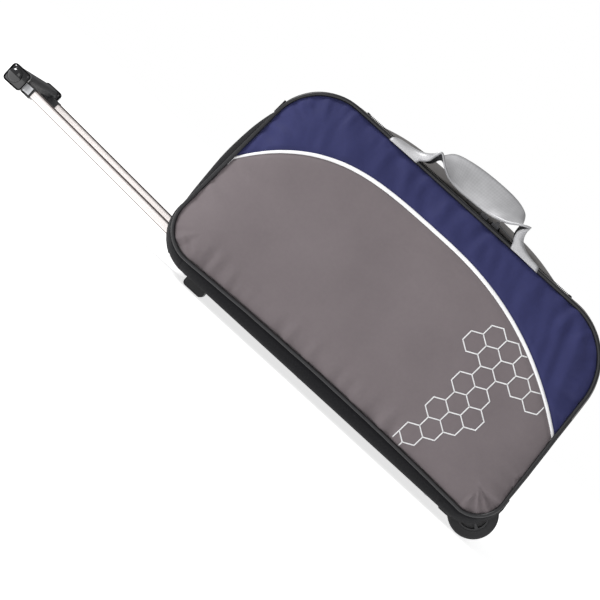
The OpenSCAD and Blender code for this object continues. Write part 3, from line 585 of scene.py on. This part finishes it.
LOW, HIGH = lambda x: -999.0, lambda x: 999.0
cloth_panel("front_lower_cloth", LOW, lambda x: stripe_z(x) - 2.0, grey_cloth,
            ["front_lower_panel"], rows=90)
cloth_panel("front_upper_cloth", lambda x: stripe_z(x) + 2.0, HIGH, blue_cloth,
            ["front_upper_panel"], rows=60)
cloth_panel("front_stripe_tape", lambda x: stripe_z(x) - 2.5, lambda x: stripe_z(x) + 2.5,
            stripe_tape, ["front_stripe"], lift=0.8, rows=5)
cloth_panel("back_cloth", LOW, HIGH, grey_cloth, ["back_panel"], sign=1, rows=90)

# %% [markdown]
# ## The honeycomb print
# A patch of six-sided cells is printed on the front panel in thin white lines. Each side of a
# cell is one narrow ribbon laid just over the cloth, and sides that two cells share are made
# once. A ribbon is a grid two vertices wide, so it bends with the padding under it.

# %% Honeycomb ribbons
cell_a, cell_b = np.array([24.6, -1.4]), np.array([13.5, 20.6])
cell_origin = np.array([129.9, 2.9 + 156.8])
cells = [(-2, 1), (-2, 2), (-1, 1), (-1, 2), (0, 0), (0, 1), (0, 2), (1, 1), (1, 2), (2, 1), (2, 2),
         (0, -1), (1, -1), (1, -2), (2, -2), (1, -3), (2, -3), (2, -4), (2, -5)]
spokes = [(cell_a + cell_b) / 3, (2 * cell_b - cell_a) / 3, (cell_b - 2 * cell_a) / 3]
spokes = spokes + [-s for s in spokes]
sides = {}
for m, n in cells:
    middle = cell_origin + m * cell_a + n * cell_b
    for k in range(6):
        p, q = middle + spokes[k], middle + spokes[(k + 1) % 6]
        sides[tuple(np.round((p + q) / 2).astype(int))] = (p, q)
stub = cell_origin + 2 * cell_a - 5 * cell_b
sides["stub_a"] = (stub + spokes[3], stub + spokes[3] - spokes[1] * 0.75)
sides["stub_b"] = (stub + spokes[4], stub + spokes[4] + spokes[4] * 0.6)
ink = bmesh.new()
for p, q in sides.values():
    steps = 6
    strip, index = grid(steps + 1, 2)
    way = (q - p) / np.linalg.norm(q - p)
    across = np.array([-way[1], way[0]]) * 0.75
    for v, (i, j) in index.items():
        x, z = p - way * 0.6 + (q - p + way * 1.2) * i / steps + across * (2 * j - 1)
        v.co = put(x, -(PRINT_Y + padding(x, z)), z)
    for face in list(strip.faces):
        c = face.calc_center_median() * 1000
        if c.z > stripe_z(c.x - datum) - 3.2 or c.z < span(min(right, c.x - datum))[0] + 1:
            strip.faces.remove(face)
    part = bpy.data.meshes.new("part")
    strip.to_mesh(part)
    ink.from_mesh(part)
    strip.free()
    bpy.data.meshes.remove(part)
bmesh.ops.delete(ink, geom=[v for v in ink.verts if not v.link_faces], context="VERTS")
face_out(ink, lambda f: Vector((0, -1, 0)))
thicken(piece(ink, "honeycomb_print", "bag", [print_ink]), 0.2)

# %% [markdown]
# ## Piping
# Piping is a cord in a sleeve of cloth, caught in the seam between a side panel and the shell.
# It is a round tube that follows the whole outline, so a curve with a round bevel makes it.

# %% Piping cords
def cord_round(name, y, node):
    curve = bpy.data.curves.new(name, "CURVE")
    curve.dimensions, curve.bevel_depth, curve.bevel_resolution = "3D", 0.0024, 4
    line = curve.splines.new("POLY")
    line.points.add(len(ring) - 1)
    line.use_cyclic_u = True
    for point, (p, way, _) in zip(line.points, ring):
        x, z = p - way * 1.4
        wobble = 0.3 * wave(x, y, z, size=24.0)
        point.co = (*put(x + way[0] * wobble, y, z + rise(p) + way[1] * wobble), 1.0)
    holder = bpy.data.objects.new(name + "_line", curve)
    bpy.context.collection.objects.link(holder)
    mesh = bpy.data.meshes.new_from_object(holder)
    bm = bmesh.new()
    bm.from_mesh(mesh)
    bpy.data.objects.remove(holder)
    bpy.data.curves.remove(curve)
    bmesh.ops.remove_doubles(bm, verts=bm.verts[:], dist=0.00002)
    bmesh.ops.recalc_face_normals(bm, faces=bm.faces[:])
    piece(bm, name, "bag", [piping_vinyl], [node])


piping_vinyl = moulded("piping_vinyl", (0.004, 0.004, 0.005), (0.01, 0.01, 0.012), 0.4, 0.0014, 0.0001)
cord_round("front_piping_cord", -PIPING_Y, "front_piping")
cord_round("back_piping_cord", PIPING_Y, "back_piping")

# %% [markdown]
# ## The shell between the panels
# The shell is lofted: at each station of the outline, a row of vertices runs from one side panel
# to the other, swollen by that station's bulge. Small wrinkles gather near the side seams and in
# the corners, where flat cloth is pulled round two bends at once. A window is left where the
# lid, the wheel housings or the handle's bezel sit.

# %% Making a stretch of shell
SKIN_T = 2.5


def skin_point(station, y, lift):
    p, way, belly = station
    x, z = p + way * (belly * swell(y) + lift)
    return put(x, y, z + rise(p, y))


def shell(name, stations, ys, finish, node, body="bag", lift=0.0, thickness=SKIN_T,
          windows=(), wrinkle=1.0, dome=0.0):
    bm, index = grid(len(stations), len(ys))
    steps = [float(np.linalg.norm(b[0] - a[0])) for a, b in zip(stations, stations[1:])]
    lay_flat(bm, index, np.concatenate([[0.0], np.cumsum(steps)]), ys)
    gone = [f for f in bm.faces for w in windows
            if all(w[0] <= index[v][0] <= w[1] and w[2] - 0.01 <= ys[index[v][1]] <= w[3] + 0.01
                   for v in f.verts)]
    rims = {v for f in gone for v in f.verts}
    for v, (i, j) in index.items():
        p, way, _ = stations[i]
        ends = min(1.0, 4.0 * min(i, len(stations) - 1 - i) / len(stations))
        seams = (SEAM_Y - abs(ys[j])) / SEAM_Y
        ripple = 0.0
        if v not in rims and wrinkle:
            along = p[0] * way[1] - p[1] * way[0]
            gather = 1.1 * wave(along, ys[j] * 0.25, 4.0, size=13.0) * math.exp(-seams * 9.0)
            ripple = wrinkle * ends * (
                gather * min(1.0, seams * 30) + 0.9 * wave(p[0], ys[j], p[1], size=46.0))
            ripple = min(ripple, 0.9 * wrinkle)
        fade = 1.0 - (2.0 * i / (len(stations) - 1) - 1.0) ** 4
        crown = dome * fade * max(0.0, 1.0 - (ys[j] / 110.0) ** 4)
        v.co = skin_point(stations[i], ys[j], lift + ripple + crown)
    if gone:
        bmesh.ops.delete(bm, geom=gone, context="FACES")
    middle = put(-10, 0, 150)
    face_out(bm, lambda f: (f.calc_center_median() - middle))
    made = piece(bm, name, body, [finish], [node] if node else ())
    return thicken(made, thickness)


def depths(*marks, step=7.0):
    """Depths through the bag, with a row at each mark."""
    found = [marks[0]]
    for a, b in zip(marks, marks[1:]):
        found += evenly(a, b, step)[1:]
    return found


HOUSE = (74.0, 110.0)
bezel_y = 95.0
zip_y, tape_y = 127.0, 118.0

# %% The bottom and both ends
wheel_seam, handle_seam = PANEL_LOW + 0.62 * PANEL_TALL, float(arc_end(3)[1]) - 2
bottom = side(BOTTOM, 0, evenly(arc_end(0)[0], 190, 9), lambda v: 15.0)
shell("bottom_cloth", bottom, depths(-140, -110, 110, 140, step=5), black_cloth,
      "bottom_panel", wrinkle=0.0)

low = side(BOTTOM, 0, [190, 198, 204.5], lambda v: 15.0)
corner = arc(1, 20, 15.0, 5.0)
up = side(WHEEL_END, 1, evenly(72, wheel_seam, 9), lambda z: 5 + (z - 72) / (wheel_seam - 72))
last = len(low) + len(corner)
shell("wheel_end_cloth", low + corner + up,
      depths(-140, -HOUSE[1], -HOUSE[0], HOUSE[0], HOUSE[1], 140, step=6),
      black_cloth, "wheel_end_panel",
      windows=[(1, last, -HOUSE[1], -HOUSE[0]), (1, last, HOUSE[0], HOUSE[1])])

handle_low = float(arc_start(0)[1])
down = side(HANDLE_END, 1, evenly(handle_seam, handle_low, 7)[:-1],
            lambda z: 3.5 + 8.5 * math.sin(
                math.pi * ((handle_seam - z) / (handle_seam - handle_low)) ** 0.8))
corner = arc(0, 24, 4.0, 15.0)
first = len(down) + 6
shell("handle_end_cloth", down + corner, depths(-140, -bezel_y, bezel_y, 140, step=6), black_cloth,
      "handle_end_panel", windows=[(first, first + 12, -bezel_y, bezel_y)], wrinkle=1.6)

# %% [markdown]
# ## The crowned top
# The grey top wraps from the wheel end over to the handle end, and the lid is cut out of it. A
# strip of black cloth is doubled over where it meets the black end, so that seam stands up.

# %% Top, doubled seam, lid and tapes
TOP_BELLY, LID_DOME = 4.0, 18.0
lid_left, lid_right = float(arc_start(3)[0]) + 7, float(arc_end(2)[0]) - 7
up = side(WHEEL_END, 1, evenly(wheel_seam, float(arc_start(2)[1]), 7)[:-1], lambda z: 6.0)
right_arc = arc(2, 22, 6.0, TOP_BELLY)
run = side(TOP, 0, evenly(lid_right, lid_left, 7), lambda x: TOP_BELLY)
left_arc = arc(3, 20, TOP_BELLY, 3.0, 5.0)
down = side(HANDLE_END, 1, [handle_seam], lambda z: 3.0)
top = up + right_arc + run + left_arc + down
first = len(up) + len(right_arc)
shell("top_cloth", top, depths(-140, -zip_y, -tape_y, tape_y, 140, step=5), lid_cloth,
      "top_gusset", windows=[(first, first + len(run) - 1, -zip_y, tape_y)], wrinkle=1.4)

welt = side(HANDLE_END, 1, evenly(handle_seam + 17, handle_seam - 1, 3), lambda z: 3.5)
shell("doubled_seam", welt, depths(-137, 137, step=6), black_cloth, None, lift=1.4,
      thickness=1.6, wrinkle=0.0)

lid_a, lid_b = lid_right - 9.6, lid_left + 9.6
lid_run = side(TOP, 0, evenly(lid_a - 7.4, lid_b + 7.4, 6), lambda x: TOP_BELLY)
shell("lid_cloth", lid_run, depths(-110, 110, 117.4, step=6), lid_cloth, "lid_panel",
      body="lid", wrinkle=1.0, dome=LID_DOME)
lid_frame = side(TOP, 0, [lid_a, lid_a - 3.7] + evenly(lid_a - 7.4, lid_b + 7.4, 9)
                 + [lid_b + 3.7, lid_b], lambda x: TOP_BELLY)
shell("lid_tape", lid_frame, depths(-117.4, -110, 110, 117.4, step=4), tape_cloth,
      "lid_zipper_tape", body="lid", thickness=1.5, wrinkle=0.0,
      windows=[(2, len(lid_frame) - 3, -110, 117.4)])
tape = side(TOP, 0, [lid_right, lid_right - 4.5] + evenly(lid_right - 9, lid_left + 9, 9)
            + [lid_left + 4.5, lid_left], lambda x: TOP_BELLY)
shell("opening_tape", tape, depths(-zip_y, -tape_y, tape_y, step=4.5), tape_cloth,
      "zipper_tape", thickness=1.5, wrinkle=0.0, windows=[(2, len(tape) - 3, -tape_y, tape_y)])

# %% [markdown]
# ## Zipper teeth
# A coil zipper's teeth are loops of one nylon wire, bent over the tape's edge every two
# millimetres. Hundreds of them are needed, so each is a small rounded bead of few faces.

# %% The coil
coil = bmesh.new()
path = [((lid_left + 4.5, y), "x") for y in np.arange(116.0, -118.0, -2.1)]
path += [((x, -122.5), "y") for x in np.arange(lid_left + 7, lid_right - 6.5, 2.1)]
path += [((lid_right - 4.5, y), "x") for y in np.arange(-118.0, 116.0, 2.1)]
for (x, y), across in path:
    z = 296 + TOP_BELLY * swell(y)
    slope = math.atan(TOP_BELLY * 2 * max(0.0, abs(y) - 110) / 900) * (1 if y < 0 else -1)
    size = (2.6, 0.72, 0.9) if across == "x" else (0.72, 2.6, 0.9)
    bmesh.ops.create_uvsphere(coil, u_segments=8, v_segments=5, radius=0.001, matrix=(
        Matrix.Translation(put(x, y, z + 0.75)) @ Matrix.Rotation(slope, 4, "X")
        @ Matrix.Diagonal((*size, 1))))
coil_nylon = moulded("coil_nylon", (0.012, 0.012, 0.014), (0.03, 0.03, 0.034), 0.35)
piece(coil, "zipper_teeth", "bag", [coil_nylon], ["zipper_coil"], crease=180)
print("teeth", len(path))

# %% [markdown]
# ## Carry straps
# A carry strap is flat webbing. It can't bend in its own plane, so on its way from standing in
# the seam to lying along the bag it leans and turns over. Each strap is given as stations of a
# middle point and half its width as a vector, with smooth curves between, and webbing's dark
# lining shows wherever the inside turns to view.

# %% Straps from stations
def smooth_row(points, per=10):
    """A smooth curve through rows of numbers."""
    p = np.array(points, float)
    p = np.vstack([2 * p[0] - p[1], p, 2 * p[-1] - p[-2]])
    rows = []
    for k in range(1, len(p) - 2):
        for t in np.linspace(0, 1, per, endpoint=False):
            rows.append(0.5 * (2 * p[k] + (p[k + 1] - p[k - 1]) * t
                               + (2 * p[k - 1] - 5 * p[k] + 4 * p[k + 1] - p[k + 2]) * t ** 2
                               + (3 * p[k] - p[k - 1] - 3 * p[k + 1] + p[k + 2]) * t ** 3))
    return np.array(rows + [p[-2]])


def strap(name, stations, node, out, thickness=2.6, cup=1.2):
    rows = smooth_row([(*middle, *half) for middle, half in stations])
    bm, index = grid(len(rows), 13)
    for v, (i, j) in index.items():
        middle, half = rows[i][:3], rows[i][3:]
        half = half / np.linalg.norm(half) * 21.0
        ahead = rows[min(i + 1, len(rows) - 1)][:3] - rows[max(i - 1, 0)][:3]
        face = np.cross(half, ahead)
        face /= np.linalg.norm(face)
        t = 2 * j / 12 - 1
        v.co = put(*(middle + half * t - face * cup * t * t))
    face_out(bm, lambda f: Vector(out))
    made = piece(bm, name, None, [webbing, webbing_lining], [node], crease=60)
    return thicken(made, thickness, 1)


front = strap("front_strap_webbing", [
    ((-119, -147.6, 293), (21, 0, 0)),
    ((-117, -147.0, 298), (21, -1, -0.5)),
    ((-108, -145, 304), (18, -9, 0)),
    ((-97, -142, 310), (10, -18, 6)),
    ((-86, -139.5, 315), (3, -19, 8)),
    ((-74, -137.5, 319), (6, -18, -6)),
    ((-58, -136, 321), (7, -12, -16)),
    ((-26, -135, 323), (-1, -7, -19.5)),
    ((6, -135, 324.5), (-4, -8, -18.8)),
    ((29, -136.5, 326), (-5, -15, -13.5)),
    ((42, -138.5, 325), (-2, -20, -3)),
    ((50, -139.5, 319), (3, -19, 8)),
    ((55, -141, 312), (-3, -18, 10)),
    ((61, -144, 306), (-15, -12, 6)),
    ((69, -147, 300), (-20.8, -2, 0.5)),
    ((72, -147.6, 293), (-21, 0, 0))], "carry_strap_front", (0, -1, 0.3))
back = strap("back_strap_webbing", [
    ((-119.5, 147.6, 297), (-21, 0, 0)), ((-119.5, 150.2, 275), (-21, 0, 0)),
    ((-119, 151, 250), (-21, 0, 3)), ((-113, 151.5, 232), (-17, 0, 11)),
    ((-98, 152, 218), (-8, 0, 19)), ((-72, 152, 214), (0, 0, 21)), ((-24, 152, 213), (0, 0, 21)),
    ((24, 152, 214), (0, 0, 21)), ((50, 152, 218), (8, 0, 19)), ((65, 151.5, 232), (17, 0, 11)),
    ((71, 151, 250), (21, 0, 3)), ((72, 150.2, 275), (21, 0, 0)), ((72, 147.6, 297), (21, 0, 0))],
    "carry_strap_back", (0, 1, 0.3))

# %% [markdown]
# ## Cloth across the hinges
# The straps are sewn into the seams. The lid is one cloth with the back of the top: a narrow strip
# of the lid's cloth is laid where the two meet, where a metal hinge would turn. The straps and this
# strip are put on no body, and their placement is baked into their meshes.

# %% Roots of the straps and the lid's fold
put(0, -140, 297)
put(0, -140, 310)
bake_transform(front)
put(0, 147, 297)
put(0, 147, 285)
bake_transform(back)
fold_ys = [114.5, 116.0, 117.2, 118.0, 119.0, 120.5]
fold = shell("lid_fold", lid_run, fold_ys, lid_cloth, None, body=None, lift=0.35,
             thickness=1.2, wrinkle=0.0)
put(0, 119.5, 300)
put(0, 116.0, 300)
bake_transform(fold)

# %% [markdown]
# ## The grip's caps and the ferrules' plates
# The grip is closed at each end by a glossy cap a little larger than the bar, and each ferrule
# has a bright plate on its outer side. Both start as a cube, scaled, with its edges
# bevelled.

# %% Caps and plates
def rounded_block(name, low, high, round_mm, finish, body):
    bm = bmesh.new()
    bmesh.ops.create_cube(bm, size=1.0)
    low, high = Vector(low), Vector(high)
    bmesh.ops.scale(bm, vec=high - low, verts=bm.verts[:])
    bmesh.ops.translate(bm, vec=(low + high) / 2, verts=bm.verts[:])
    bmesh.ops.bevel(bm, geom=bm.edges[:], offset=round_mm / 1000, segments=4, profile=0.5,
                    affect="EDGES", material=-1)
    piece(bm, name, body, [finish], crease=50)


(grip_low, _), (_, grip_high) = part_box("grip_lower_shell"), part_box("grip_upper_shell")
for side_name, sign in (("l", -1), ("r", 1)):
    outer = sign * (grip_high.y + 0.005)
    inner = sign * (grip_high.y - 0.0005)
    rounded_block("grip_cap_" + side_name,
                  (grip_low.x - 0.001, min(outer, inner), grip_low.z - 0.001),
                  (grip_high.x + 0.004, max(outer, inner), grip_high.z + 0.001),
                  5.0, gloss_plastic, "handle")
    button = bmesh.new()
    bmesh.ops.create_uvsphere(button, u_segments=40, v_segments=20, radius=0.0095, matrix=(
        Matrix.Translation((grip_low.x + 0.0097, outer - sign * 0.001, (grip_low.z + grip_high.z) / 2))
        @ Matrix.Diagonal((1.0, 0.55, 1.0, 1.0))))
    piece(button, "grip_button_" + side_name, "handle", [gloss_plastic], crease=180)
    low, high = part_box("ferrule_" + side_name)
    face_y = low.y if sign < 0 else high.y
    rounded_block("ferrule_plate_" + side_name,
                  (low.x + 0.002, min(face_y, face_y + sign * 0.0009), low.z + 0.0015),
                  (high.x - 0.001, max(face_y, face_y + sign * 0.0009), high.z - 0.0015),
                  0.35, plate_metal, "handle")
